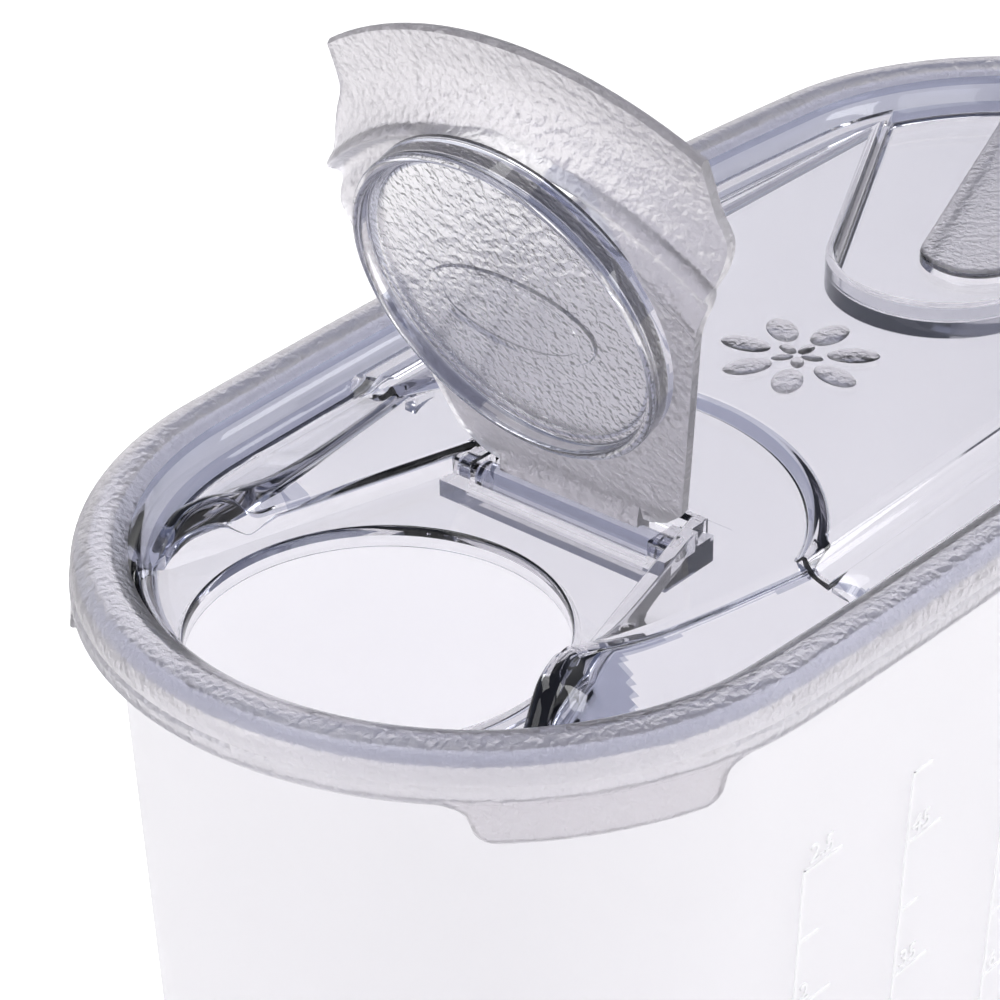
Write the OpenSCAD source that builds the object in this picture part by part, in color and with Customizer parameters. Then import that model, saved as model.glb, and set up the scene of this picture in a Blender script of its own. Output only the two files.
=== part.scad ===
// Pantry container with a lift-off lid and a flip-up pouring flap.
// Millimetres. X runs along the length with the spout at -X, Z is up,
// and the origin is at the middle of the underside of the container.

/* [Container] */
// Height of the container to the top of its rim
tub_h = 164; // [120:1:220]
// Length of the lid over its rim bead
lid_l = 247; // [240:1:280]
// Width of the lid over its rim bead, at the middle
lid_w = 114; // [112:0.5:118]
// Bulge of the long sides past the rounded ends
side_bow = 2.2; // [1.4:0.1:3]
// Wall thickness of the container
tub_t = 1.5; // [1.2:0.1:1.7]
// Thickness of the container's floor
floor_t = 2; // [1.5:0.1:4]
// Slope of the container walls, degrees from upright
draft = 1.6; // [0.5:0.1:3]
// Radius of the edge round the container's floor
foot_r = 8; // [5:0.5:12]

/* [Lid] */
// Wall thickness of the lid
lid_t = 1.8; // [1.6:0.1:1.9]
// Radius of the bead round the lid
bead_r = 3.8; // [3.7:0.05:4]
// Depth of the front floor of the lid below the middle of the bead
basin_d = 3.6; // [3.4:0.1:3.8]
// Height of the rear panel above the middle of the bead
panel_h = 1.5; // [0.6:0.1:2]
// Half width of the rear panel
panel_w = 36; // [34:0.5:37]
// Height of the two crests beside the flap
crest_h = 4.4; // [3:0.1:5]
// Depth of the skirt below the middle of the bead
skirt_d = 3.4; // [3:0.1:4]
// Depth of the two lift tabs below the middle of the bead
tab_d = 8.8; // [7:0.1:12]
// Angle that each lift tab spans round the end
tab_a = 40; // [30:1:46]

/* [Spout and flap] */
// Distance of the spout from the middle of the lid
spout_x = 89.9; // [89.7:0.1:90.1]
// Radius of the spout hole
spout_r = 25; // [24.4:0.1:25.1]
// Distance of the flap's pin from the middle of the lid
hinge_x = 51.5; // [51:0.1:52]
// Radius of the flap's pins
pin_r = 1.3; // [1:0.05:1.5]
// Thickness of the flap
flap_t = 1.5; // [1.2:0.1:1.6]
// Angle at which the flap stands open
open_a = 71.9; // [0:0.1:98]
// Reach of the lip beyond the crown of the bead
lip_reach = 5.6; // [4.4:0.1:7]
// Depth of the ring under the flap, below the hinge pin
ring_d = 2.3; // [1.4:0.1:2.8]

/* [Clearances] */
// Gap between the lid and the top of the container's rim
seat_gap = 0.3; // [0.2:0.05:0.5]
// Radial clearance of the hinge pins
pin_gap = 0.05; // [0.03:0.01:0.09]
// Gap between the flap's ring and the spout hole
ring_gap = 0.3; // [0.25:0.05:0.6]
// Gap between the flap's edges and the lid
edge_gap = 0.6; // [0.5:0.05:0.9]

/* [Hidden] */
$fn = 96;

// The plan is an oval of four arcs that meet in line: two round ends and two
// nearly straight sides. Offsets are taken outward from the crown of the bead.
half_w = lid_w / 2 - bead_r;
end_r = half_w - side_bow;
end_c = lid_l / 2 - bead_r - end_r;
side_r = (end_c * end_c + half_w * half_w - end_r * end_r) / (2 * (half_w - end_r));
turn = atan2(side_r - half_w, end_c);
// Height of the middle of the bead above the table
rim_z = tub_h + seat_gap - (bead_r - lid_t);

// Tub profile
neck_z = rim_z - 3.2;
neck_o = -1.5;
function wall_o(z) = neck_o - (neck_z - z) * tan(draft);

// Basin
gutter_z = -1.36;
wall_in = -7.3;
rim_in = -5.9;
plate_z = -basin_d - lid_t;
pin_z = -3.7;
arc_x = -60.5;
arc_r = 37.8;
step_x = -47.5;
collar_t = 1.1;
collar_z = -7;

// Flap, closed: its plate lies just under the level of the shelves
plate_lo = -2;
ring_r = spout_r - ring_gap;
trough_r = 15.7;
knuckle_w = trough_r - 0.35;
plaque_l = 6.8;
plaque_w = 14.1;
lug_w = 20;

// Helpers

// Sweeps a profile round the oval: x is the outward offset, y the height
module oval_sweep() {
    for (s = [0, 180]) rotate([0, 0, s]) {
        translate([end_c, 0, 0])
            rotate([0, 0, -turn])
                rotate_extrude(angle = 2 * turn, $fn = 144)
                    translate([end_r, 0]) children();
        translate([0, half_w - side_r, 0])
            rotate([0, 0, turn])
                rotate_extrude(angle = 180 - 2 * turn, $fn = 720)
                    translate([side_r, 0]) children();
    }
}

// Points along an arc
function arc(cx, cy, r, a0, a1, n) =
    [for (i = [0:n]) let (a = a0 + (a1 - a0) * i / n) [cx + r * cos(a), cy + r * sin(a)]];

// The flat oval at one outward offset, drawn finely: its edge is always buried in the rim
module oval_2d(o) {
    cy = side_r - half_w;
    polygon(concat(
        arc(end_c, 0, end_r + o, -turn, turn, 24),
        arc(0, -cy, side_r + o, turn + 0.4, 180 - turn - 0.4, 8),
        arc(-end_c, 0, end_r + o, 180 - turn, 180 + turn, 24),
        arc(0, cy, side_r + o, 180 + turn + 0.4, 360 - turn - 0.4, 8)
    ));
}

// Skins a list of closed outlines, all with the same number of points
module skin(rings) {
    n = len(rings[0]);
    m = len(rings);
    pts = [for (r = rings) for (p = r) p];
    sides = [for (i = [0:m - 2]) for (j = [0:n - 1])
        let (a = i * n + j, b = i * n + (j + 1) % n)
        each [[a, b, b + n], [a, b + n, a + n]]];
    polyhedron(
        points = pts,
        faces = concat(
            [[for (j = [n - 1:-1:0]) j]],
            sides,
            [[for (j = [0:n - 1]) (m - 1) * n + j]]
        )
    );
}

// Value of a curve given by [x, value] pairs with x falling
function along(t, x, i = 0) =
    i >= len(t) - 1 ? t[len(t) - 1][1] :
    x >= t[0][0] ? t[0][1] :
    x > t[i + 1][0] ? t[i][1] + (t[i + 1][1] - t[i][1]) * (t[i][0] - x) / (t[i][0] - t[i + 1][0]) :
    along(t, x, i + 1);

// Container

// Wall with the rounded foot, the slope and the flared rim
module tub_profile() {
    cx = wall_o(foot_r) - foot_r / cos(draft);
    ti = tub_t / cos(draft);
    polygon(concat(
        [[-26, 0]],
        arc(cx, foot_r, foot_r, -90, -draft, 6),
        [
            [neck_o, neck_z],
            [1.4, rim_z - 1.7],
            [1.4, tub_h - 1.2]
        ],
        arc(0.2, tub_h - 1.2, 1.2, 20, 90, 3),
        [
            [-1.1, tub_h],
            [-1.5, tub_h - 0.4],
            [-1.5, tub_h - 1.5],
            [neck_o - ti, neck_z]
        ],
        arc(cx, foot_r, foot_r - tub_t, -draft, -90, 5),
        [[-26, tub_t]]
    ));
}

module container_tub() {
    color([0.93, 0.94, 0.96, 0.6]) {
        oval_sweep() tub_profile();
        linear_extrude(floor_t) oval_2d(wall_o(foot_r) - foot_r - 0.5);
    }
}

// Lid

// Bead, skirt and inner slope, with the channel that takes the container's rim
module rim_profile() {
    ct = bead_r - lid_t;
    polygon(concat(
        [[wall_in, plate_z], [-5, plate_z]],
        // Channel
        [[-3.6, 0], [-2.4, 1], [-1.4, ct], [0.9, ct], [2.1, ct - 1.2], [2.1, -skirt_d]],
        // Skirt with its shallow groove
        [[4.1, -skirt_d], [4.1, -1.5], [bead_r, -1.3], [bead_r, -0.6]],
        arc(0, 0, bead_r, 0, 133, 11),
        [[-5.5, 0.6], [wall_in, -basin_d]]
    ));
}

module lid_rim() {
    oval_sweep() rim_profile();
    // The spout's collar closes the rim where the two run together
    intersection() {
        oval_sweep() polygon([
            [-5.6, collar_z], [-3.7, collar_z], [-3.7, -0.4], [-5.6, -0.4]
        ]);
        translate([-spout_x, 0, collar_z - 1])
            cylinder(r = spout_r + collar_t, h = 10);
    }
}

// Half width of the sunken bay that takes the flap, narrow at the hinge
function bay_w(x) = 18.4 + 0.276 * (-hinge_x - x);

// Height of the bay's edge, which rises to a crest near the front
edge_curve = [
    [-84, 0], [-85.3, 0.28], [-86.4, 0.62], [-87.6, 0.86], [-89.3, 1], [-92, 0.96],
    [-93.8, 0.82], [-95.2, 0.54], [-96.5, 0.2], [-97.6, -0.15], [-98.6, -0.42], [-100, -0.7]
];
// Height and half width of the ridge that runs from the crest to the panel
ridge_curve = [
    [-48, 0], [-56, 0.05], [-64, 0.12], [-72, 0.25], [-78, 0.45], [-84, 0.78], [-89.3, 1],
    [-92, 0.96], [-93.8, 0.82], [-95.2, 0.54], [-96.5, 0.2], [-97.6, -0.15], [-98.6, -0.42], [-100, -0.7]
];
function edge_z(x) = crest_h * along(edge_curve, x);
function ridge_z(x) = crest_h * along(ridge_curve, x);
function ridge_w(x) = max(bay_w(x) + 0.4, panel_w - 0.165 * (step_x - x));
function wall_w(x) = x > -end_c ? half_w + wall_in + 0.3 :
    sqrt(pow(end_r + wall_in + 0.6, 2) - pow(-end_c - x, 2));

// Cross-section of the two shelves beside the bay, set in by d
function shelf_ring(x, d) =
    let (
        b = bay_w(x) - 1,
        r = ridge_w(x) - d * 0.6,
        f = max(wall_w(x) - d, r + 2.6),
        ez = edge_z(x) - d,
        rz = ridge_z(x) - d,
        foot = -basin_d - 0.5 - d,
        sz = max(min(rz - 1.2, -0.9 - d), foot + 0.4),
        // The hollow beneath stops short of the foot, so the wall there stays whole
        k = d > 0 ? 0.3 : 0.5,
        my = r + 1.2 + (f - r - 1.2) * k,
        mz = sz + (foot - sz) * (k - 0.05),
        ends = d > 0 ? [my + 0.3, mz - 0.3] : [f, foot],
        half = [
            ends, [my, mz], [r + 1.2, sz], [r + 0.5, (sz + rz * 2) / 3 - 0.05], [r, rz], [b, ez]
        ],
        n = len(half),
        lo = plate_z - d
    )
    concat(
        [[x, ends[0], lo]],
        [for (p = half) [x, p[0], p[1]]],
        [for (i = [n - 1:-1:0]) [x, -half[i][0], half[i][1]]],
        [[x, -ends[0], lo]]
    );

module shelves(d) {
    xs = [-43.5, -48, -52, -58, -64, -70, -75, -80, -84, -85.3, -86.4, -87.6, -89.3,
        -92, -93.8, -95.2, -96.5, -97.6, -98.6, -100];
    skin([for (x = xs) shelf_ring(x < -99 ? x + d * 0.5 : x > -47 ? x - d * 1.1 : x, d)]);
}

// Cross-section of the raised rear panel, set in by d
function panel_ring(x, d) =
    let (
        z = panel_h - d,
        w = panel_w - d * 0.6,
        lo = plate_z - d,
        half = [
            [w + 4.4, gutter_z - d], [w + 2.6, gutter_z + 0.5 - d],
            [w + 1.3, z - 1.0], [w + 0.6, z - 0.3], [w - 0.4, z]
        ],
        n = len(half)
    )
    concat(
        [[x, w + 4.4, lo]],
        [for (p = half) [x, p[0], p[1]]],
        [for (i = [n - 1:-1:0]) [x, -half[i][0], half[i][1]]],
        [[x, -w - 4.4, lo]]
    );

// The rear panel with the round step round the hinge
module panel(d) {
    difference() {
        skin([panel_ring(80 - d, d), panel_ring(step_x + d, d)]);
        translate([arc_x, 0, -d]) cylinder(r = arc_r + d, h = 10);
    }
}

// Level platform behind the hinge, which runs back under the panel
platform_w = panel_w - 0.4;
module platform(d) {
    w = platform_w - d;
    translate([step_x + 0.2 - d, -w, plate_z - d])
        cube([hinge_x - 24.7, 2 * w, -plate_z]);
}

// Floor of the rear gutter, raised above the front one; its front end is an S in plan
module rear_floor(d) {
    s = [[-46.6, 36.6], [-45.9, 38.6], [-45.2, 40.2], [-44.7, 41.6], [-44.6, 42.8],
        [-45.1, 44.2], [-46.2, 45.6], [-48.6, 47.4], [-51, 50]];
    n = len(s);
    translate([d, 0, plate_z - d])
        linear_extrude(gutter_z - plate_z)
            intersection() {
                translate([-d, 0]) oval_2d(rim_in - d * 1.1);
                polygon(concat(
                    [[130, -60], [130, 60], [-51, 60]],
                    [for (i = [n - 1:-1:0]) s[i]],
                    [for (p = s) [p[0], -p[1]]],
                    [[-51, -60]]
                ));
            }
}

// Fan-shaped hand recess in the rear panel, grown by e
fan_x = 38.8;
fan_r = 15.9;
fan_a = 26.2;
module fan_2d(e) {
    r = fan_r + e;
    tx = fan_x - r * sin(fan_a);
    ty = r * cos(fan_a);
    ex = 130;
    ey = ty + (ex - tx) * tan(fan_a);
    translate([fan_x, 0]) circle(r = r);
    polygon([[tx, ty], [ex, ey], [ex, -ey], [tx, -ty]]);
}

// Sunken bay for the flap, grown by e
module bay_2d(e) {
    x0 = -hinge_x + 4.6 + e;
    x1 = -106 - e;
    polygon([
        [x0, bay_w(x0) + e],
        [x1, bay_w(x1) + e],
        [x1, -bay_w(x1) - e],
        [x0, -bay_w(x0) - e]
    ]);
}

module sunken(e) {
    translate([0, 0, -basin_d]) linear_extrude(20) {
        fan_2d(e);
        bay_2d(e);
    }
}

// Raised grip tongue in the recess, set in by d
tongue_x = 48.7;
tongue_r = 8.4;
tongue_a = 19;
module tongue(d) {
    r = tongue_r - d;
    tx = tongue_x - r * sin(tongue_a);
    ty = r * cos(tongue_a);
    translate([0, 0, plate_z - d])
        linear_extrude(2.2 + lid_t)
            intersection() {
                union() {
                    translate([tongue_x, 0]) circle(r = r);
                    polygon([
                        [tx, ty],
                        [125, ty + (125 - tx) * tan(tongue_a)],
                        [125, -ty - (125 - tx) * tan(tongue_a)],
                        [tx, -ty]
                    ]);
                }
                oval_2d(rim_in - d * 1.1);
            }
}

// Block round the hinge trough and its two lugs
module hinge_block() {
    translate([-hinge_x - 4.3, -lug_w, -8]) cube([10.6, 2 * lug_w, 8 - basin_d - 0.4]);
    for (s = [-1, 1]) translate([-hinge_x - 2.6, s > 0 ? trough_r : -lug_w, -8])
        cube([5.4, lug_w - trough_r, 7]);
}

module lid_panel() {
    difference() {
        union() {
            translate([0, 0, plate_z]) linear_extrude(lid_t) oval_2d(wall_in + 0.4);
            difference() {
                intersection() {
                    union() {
                        shelves(0);
                        platform(0);
                        panel(0);
                        rear_floor(0);
                    }
                    translate([0, 0, plate_z]) linear_extrude(20) oval_2d(rim_in);
                }
                sunken(0);
            }
            tongue(0);
        }
        difference() {
            union() {
                shelves(lid_t);
                platform(lid_t);
                panel(lid_t);
                rear_floor(lid_t);
            }
            translate([0, 0, -lid_t - 5]) sunken(lid_t);
        }
        tongue(lid_t);
    }
}

// Lift tabs: the skirt runs deeper over part of each front corner
module lift_tabs() {
    mid = 124.3;
    w = (end_r + 4) * sin(tab_a / 2);
    for (s = [-1, 1]) translate([-end_c, 0, 0]) rotate([0, 0, s * mid]) {
        intersection() {
            rotate([0, 0, -tab_a / 2 - 4])
                rotate_extrude(angle = tab_a + 8, $fn = 144)
                    translate([end_r, 0])
                        polygon([
                            [2.5, -skirt_d + 1.1], [3.7, -skirt_d + 1.1], [3.95, -skirt_d],
                            [4.5, -tab_d], [2.9, -tab_d], [2.5, -skirt_d]
                        ]);
            translate([end_r - 20, 0, 0]) rotate([90, 0, 90]) linear_extrude(30)
                tab_outline(w);
        }
    }
}

// Outline of a lift tab seen from outside, with rounded corners
module tab_outline(w) {
    r = 3;
    polygon(concat(
        [[w + 1, 0], [-w - 1, 0], [-w - 1, -skirt_d + 0.2], [-w + 1.4, -skirt_d - 0.9],
            [-w + 2.8, -tab_d + r + 0.6]],
        arc(-w + 3 + r, -tab_d + r, r, 180, 270, 5),
        arc(w - 3 - r, -tab_d + r, r, 270, 360, 5),
        [[w - 2.8, -tab_d + r + 0.6], [w - 1.4, -skirt_d - 0.9], [w + 1, -skirt_d + 0.2]]
    ));
}

module lid() {
    color([0.72, 0.73, 0.80, 0.6]) translate([0, 0, rim_z])
        difference() {
            union() {
                lid_panel();
                lid_rim();
                lift_tabs();
                translate([-spout_x, 0, collar_z])
                    cylinder(r = spout_r + collar_t, h = -collar_z - basin_d - 0.2);
                hinge_block();
            }
            translate([-spout_x, 0, -20]) cylinder(r = spout_r, h = 40);
            // Trough that lets the flap's knuckles turn
            translate([-hinge_x - 2.9, -trough_r, -6.5]) cube([7.5, 2 * trough_r, 20]);
            translate([-hinge_x, 0, pin_z]) rotate([90, 0, 0])
                cylinder(r = pin_r + pin_gap, h = 2 * lug_w - 2.4, center = true, $fn = 48);
        }
}

// Flap

// Plan of the flap when shut, from the hinge to the ends of the lip
module flap_2d() {
    x0 = -hinge_x - 2.5;
    x1 = -99.2;
    g = edge_gap;
    polygon([
        [x0, 13.6], [x0 - 1.2, bay_w(x0) - g - 2], [x0 - 4, bay_w(x0 - 4) - g],
        [x1, bay_w(x1) - g], [-101.5, 31.9], [-104, 32.3], [-106, 31.9], [-108.4, 30.9],
        [-125, 30.2], [-140, 0],
        [-125, -30.2], [-108.4, -30.9], [-106, -31.9], [-104, -32.3], [-101.5, -31.9],
        [x1, -bay_w(x1) + g], [x0 - 4, -bay_w(x0 - 4) + g], [x0 - 1.2, -bay_w(x0) + g + 2],
        [x0, -13.6]
    ]);
}

// The lip climbs from the plate over the bead: profile by offset and height
module lip_profile() {
    t = flap_t;
    l = bead_r - 3.8;
    polygon([
        [-13, plate_lo], [-11.4, plate_lo + 0.2], [-10.3, -0.9], [-9.5, 0.1], [-8.7, 0.3],
        [-7.9, -0.2], [-7.3, -0.9], [-6.8, -1], [-6.3, -0.2], [-5.9, 1.1], [-4.4, 2.5 + l],
        [-2.7, 3.9 + l], [-1.2, 4.5 + l], [1, 4.7 + l], [lip_reach, 4.5 + l],
        [lip_reach + 0.2, 4.5 + l + t / 2],
        [lip_reach, 4.5 + l + t], [0.8, 4.7 + l + t], [-1.8, 4.4 + l + t],
        [-3.8, 3.6 + l + t], [-5.6, 2.5 + t], [-6.7, 1.2 + t], [-7.5, 0.4 + t], [-8.3, 0.6 + t],
        [-9.2, 0.4 + t], [-10.2, -0.2 + t], [-11.2, -1.2 + t], [-13, plate_lo + t]
    ]);
}

module flap_shut() {
    difference() {
        union() {
            // Plate, up to where the lip starts
            translate([0, 0, plate_lo]) linear_extrude(flap_t) intersection() {
                flap_2d();
                union() {
                    translate([-end_c, 0]) circle(r = end_r - 12.5, $fn = 144);
                    translate([-end_c, -45]) square([60, 90]);
                }
            }
            intersection() {
                translate([-end_c, 0, 0]) rotate([0, 0, 90])
                    rotate_extrude(angle = 180, $fn = 144)
                        translate([end_r, 0]) lip_profile();
                translate([0, 0, -10]) linear_extrude(30) flap_2d();
            }
            // Ring that plugs the spout
            translate([-spout_x, 0, pin_z - ring_d])
                cylinder(r = ring_r, h = plate_lo - pin_z + ring_d + 0.4);
        }
        // Dish above the ring, and the hollow inside it
        translate([-spout_x, 0, -2.3]) cylinder(r1 = ring_r - 2.2, r2 = ring_r - 1.6, h = 5);
        translate([-spout_x, 0, pin_z - ring_d - 1])
            cylinder(r = ring_r - flap_t, h = ring_d + 1 - 0.2);
    }
    // Oval plaque under the dish
    translate([-spout_x + 1.9, 0, pin_z - 0.55]) linear_extrude(0.8)
        polygon([for (a = [0:10:350]) [plaque_l * cos(a), plaque_w * sin(a)]]);
    // Knuckle bar and the web that joins it to the plate
    translate([-hinge_x, 0, pin_z]) rotate([90, 0, 0]) {
        cylinder(r = 2.1, h = 2 * knuckle_w, center = true, $fn = 48);
        cylinder(r = pin_r, h = 2 * lug_w - 3.2, center = true, $fn = 48);
        linear_extrude(24.4, center = true)
            polygon([
                [-0.4, -1.6], [-2.2, 0.4], [-3.4, 0.7], [-5.2, plate_lo - pin_z + 0.1],
                [-4.4, plate_lo - pin_z + flap_t], [-2.5, plate_lo - pin_z + flap_t], [1, 2],
                [1.6, 0]
            ]);
    }
}

module pour_flap() {
    color([0.70, 0.71, 0.77, 0.6])
        translate([-hinge_x, 0, rim_z + pin_z])
            rotate([0, open_a, 0])
                translate([hinge_x, 0, -pin_z]) flap_shut();
}

container_tub();
lid();
pour_flap();
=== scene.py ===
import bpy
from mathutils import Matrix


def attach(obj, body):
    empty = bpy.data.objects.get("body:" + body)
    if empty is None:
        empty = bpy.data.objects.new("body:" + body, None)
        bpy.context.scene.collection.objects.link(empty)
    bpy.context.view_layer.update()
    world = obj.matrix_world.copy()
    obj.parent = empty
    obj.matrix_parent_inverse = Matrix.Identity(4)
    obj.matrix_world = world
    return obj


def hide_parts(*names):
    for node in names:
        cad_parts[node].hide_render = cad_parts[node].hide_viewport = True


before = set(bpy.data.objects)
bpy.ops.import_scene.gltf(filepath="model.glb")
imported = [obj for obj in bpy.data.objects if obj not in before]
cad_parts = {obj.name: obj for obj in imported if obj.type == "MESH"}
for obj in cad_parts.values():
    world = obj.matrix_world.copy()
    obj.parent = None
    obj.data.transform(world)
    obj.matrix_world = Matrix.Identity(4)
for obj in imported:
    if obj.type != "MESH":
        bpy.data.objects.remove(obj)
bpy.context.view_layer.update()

import math
import bmesh
import bpy
import numpy as np
from mathutils import Matrix, Vector

# Camera
# The container is seen from above its front left corner, with the open flap
# in the upper half of the view and the foot of the container below it.
camera_data = bpy.data.cameras.new("camera")
camera_data.lens = 107.21
camera_data.sensor_width = 36
camera_data.clip_start = 0.05
camera = bpy.data.objects.new("camera", camera_data)
right = Vector((0.65408, -0.75634, -0.01132))
up = Vector((0.39132, 0.32552, 0.86076))
back = Vector((-0.64734, -0.56743, 0.50889))
camera.matrix_world = Matrix((
    (right.x, up.x, back.x, -0.32100),
    (right.y, up.y, back.y, -0.22369),
    (right.z, up.z, back.z, 0.36733),
    (0, 0, 0, 1),
))
bpy.context.scene.collection.objects.link(camera)
bpy.context.scene.camera = camera

# Studio
# A plain white table under a soft overhead box and three weaker side boxes.
# Camera and transmitted rays find white behind the object.
view = bpy.context.scene.view_settings
view.view_transform = "Standard"

world = bpy.data.worlds.new("studio")
bpy.context.scene.world = world
world.use_nodes = True
nodes, links = world.node_tree.nodes, world.node_tree.links
nodes.clear()
path = nodes.new("ShaderNodeLightPath")
fill = nodes.new("ShaderNodeBackground")
fill.inputs["Color"].default_value = (0.984, 0.972, 1.0, 1)
fill.inputs["Strength"].default_value = 0.60
# Plastic sees a white sweep low down and a dim ceiling above, which darkens its edges
way = nodes.new("ShaderNodeTexCoord")
part = nodes.new("ShaderNodeSeparateXYZ")
links.new(way.outputs["Generated"], part.inputs[0])
climb = nodes.new("ShaderNodeMapRange")
climb.interpolation_type = "SMOOTHSTEP"
climb.inputs["From Min"].default_value = 0.0
climb.inputs["From Max"].default_value = 0.45
links.new(part.outputs["Z"], climb.inputs["Value"])
sweep = nodes.new("ShaderNodeMix")
sweep.data_type = "RGBA"
sweep.inputs["A"].default_value = (1, 1, 1, 1)
sweep.inputs["B"].default_value = (0.24, 0.26, 0.36, 1)
links.new(climb.outputs["Result"], sweep.inputs["Factor"])
around = nodes.new("ShaderNodeBackground")
links.new(sweep.outputs["Result"], around.inputs["Color"])
white = nodes.new("ShaderNodeBackground")
white.inputs["Color"].default_value = (1, 1, 1, 1)
through = nodes.new("ShaderNodeMath")
through.operation = "MAXIMUM"
links.new(path.outputs["Is Transmission Ray"], through.inputs[0])
links.new(path.outputs["Is Glossy Ray"], through.inputs[1])
either = nodes.new("ShaderNodeMixShader")
links.new(through.outputs[0], either.inputs["Fac"])
links.new(fill.outputs[0], either.inputs[1])
links.new(around.outputs[0], either.inputs[2])
direct = nodes.new("ShaderNodeMixShader")
links.new(path.outputs["Is Camera Ray"], direct.inputs["Fac"])
links.new(either.outputs[0], direct.inputs[1])
links.new(white.outputs[0], direct.inputs[2])
out = nodes.new("ShaderNodeOutputWorld")
links.new(direct.outputs[0], out.inputs["Surface"])

table_mesh = bpy.data.meshes.new("table")
half, below = 3, -0.0004
table_mesh.from_pydata([(-half, -half, below), (half, -half, below), (half, half, below), (-half, half, below)], [],
                       [(0, 1, 2, 3)])
table = bpy.data.objects.new("table", table_mesh)
bpy.context.scene.collection.objects.link(table)
paper = bpy.data.materials.new("white paper")
paper.use_nodes = True
nodes, links = paper.node_tree.nodes, paper.node_tree.links
nodes.clear()
sheet = nodes.new("ShaderNodeBsdfPrincipled")
sheet.inputs["Base Color"].default_value = (0.9, 0.9, 0.9, 1)
sheet.inputs["Roughness"].default_value = 0.9
sheet.inputs["Specular IOR Level"].default_value = 0.1
lift = nodes.new("ShaderNodeEmission")
path = nodes.new("ShaderNodeLightPath")
seen = nodes.new("ShaderNodeMath")
seen.operation = "MAXIMUM"
links.new(path.outputs["Is Camera Ray"], seen.inputs[0])
links.new(path.outputs["Is Transmission Ray"], seen.inputs[1])
strength = nodes.new("ShaderNodeMath")
strength.operation = "MULTIPLY"
strength.inputs[1].default_value = 0.42
links.new(seen.outputs[0], strength.inputs[0])
links.new(strength.outputs[0], lift.inputs["Strength"])
both = nodes.new("ShaderNodeAddShader")
links.new(sheet.outputs[0], both.inputs[0])
links.new(lift.outputs[0], both.inputs[1])
out = nodes.new("ShaderNodeOutputMaterial")
links.new(both.outputs[0], out.inputs["Surface"])
table_mesh.materials.append(paper)


def soft_box(name, size, place, aim, power):
    """An area lamp at a place, turned to face a point."""
    data = bpy.data.lights.new(name, "AREA")
    data.shape = "RECTANGLE"
    data.size, data.size_y = size
    data.energy = power
    lamp = bpy.data.objects.new(name, data)
    lamp.location = place
    lamp.rotation_euler = (Vector(aim) - Vector(place)).to_track_quat("-Z", "Y").to_euler()
    bpy.context.scene.collection.objects.link(lamp)


soft_box("overhead box", (0.9, 0.7), (-0.25, 0.30, 1.25), (-0.03, 0, 0.15), 6.5)
soft_box("left box", (0.5, 0.9), (-1.15, 0.25, 0.65), (-0.03, 0, 0.15), 2.6)
soft_box("front box", (0.8, 0.5), (-0.15, -1.2, 0.75), (0, 0, 0.12), 2.6)
soft_box("right box", (0.5, 0.3), (0.62, -0.9, 0.55), (-0.03, 0, 0.15), 2.4)

# Container
# The tub is one blow of natural polypropylene, thin-walled, milky and satin.
# It has a flared rim that the lid drops over, and a flat foot.

# Millimetres from the middle of the lid: centre and radius of the round ends,
# half width, and height of the middle of the lid's bead over the table
end_c, end_r, half_w, rim_z = 68.7, 51.0, 53.2, 162.3
on_table = Matrix.Translation((0, 0, rim_z / 1000)) @ Matrix.Scale(0.001, 4)
side_r = (end_c ** 2 + half_w ** 2 - end_r ** 2) / (2 * (half_w - end_r))
turn = math.degrees(math.atan2(side_r - half_w, end_c))


def arc(cx, cy, r, a0, a1, n):
    """Points along an arc, in degrees."""
    return [(cx + r * math.cos(math.radians(a0 + (a1 - a0) * i / n)),
             cy + r * math.sin(math.radians(a0 + (a1 - a0) * i / n))) for i in range(n + 1)]


def oval(out):
    """The plan of the lid at an outward offset from the crown of its bead."""
    cy = side_r - half_w
    return (arc(end_c, 0, end_r + out, -turn, turn, 64)
            + arc(0, -cy, side_r + out, turn, 180 - turn, 24)[1:-1]
            + arc(-end_c, 0, end_r + out, 180 - turn, 180 + turn, 64)
            + arc(0, cy, side_r + out, 180 + turn, 360 - turn, 24)[1:-1])


def smooth(points, n):
    """A Catmull-Rom curve through points, n steps to each span."""
    p = [np.array(q, float) for q in points]
    p = [2 * p[0] - p[1]] + p + [2 * p[-1] - p[-2]]
    done = []
    for a, b, c, d in zip(p, p[1:], p[2:], p[3:]):
        for i in range(n):
            t = i / n
            done.append(0.5 * (2 * b + (c - a) * t + (2 * a - 5 * b + 4 * c - d) * t * t
                               + (3 * b - a - 3 * c + d) * t ** 3))
    return [tuple(q) for q in done] + [tuple(points[-1])]


# Faces are sorted by finish while a piece is built: polished first, then grained
finishes = [bpy.data.materials.new("polished"), bpy.data.materials.new("grained")]


def block(name, rings, loop=False, stuff=0):
    """A closed solid through outlines of like length; stuff is 1 where its faces are grained."""
    n, m = len(rings[0]), len(rings)
    faces = [(i * n + j, i * n + (j + 1) % n, ((i + 1) % m) * n + (j + 1) % n, ((i + 1) % m) * n + j)
             for i in range(m if loop else m - 1) for j in range(n)]
    if not loop:
        faces += [tuple(range(n - 1, -1, -1)), tuple((m - 1) * n + j for j in range(n))]
    mesh = bpy.data.meshes.new(name)
    mesh.from_pydata([p for ring in rings for p in ring], [], faces)
    for material in finishes:
        mesh.materials.append(material)
    bm = bmesh.new()
    bm.from_mesh(mesh)
    bmesh.ops.recalc_face_normals(bm, faces=bm.faces)
    for face in bm.faces:
        face.material_index = stuff
    bm.to_mesh(mesh)
    bm.free()
    solid = bpy.data.objects.new(name, mesh)
    bpy.context.scene.collection.objects.link(solid)
    return solid


def prism(name, steps, outline, stuff=0):
    """A solid whose outline is grown by d at each height: steps are (d, z)."""
    return block(name, [[(x, y, z) for x, y in outline(d)] for d, z in steps], stuff=stuff)


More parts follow.
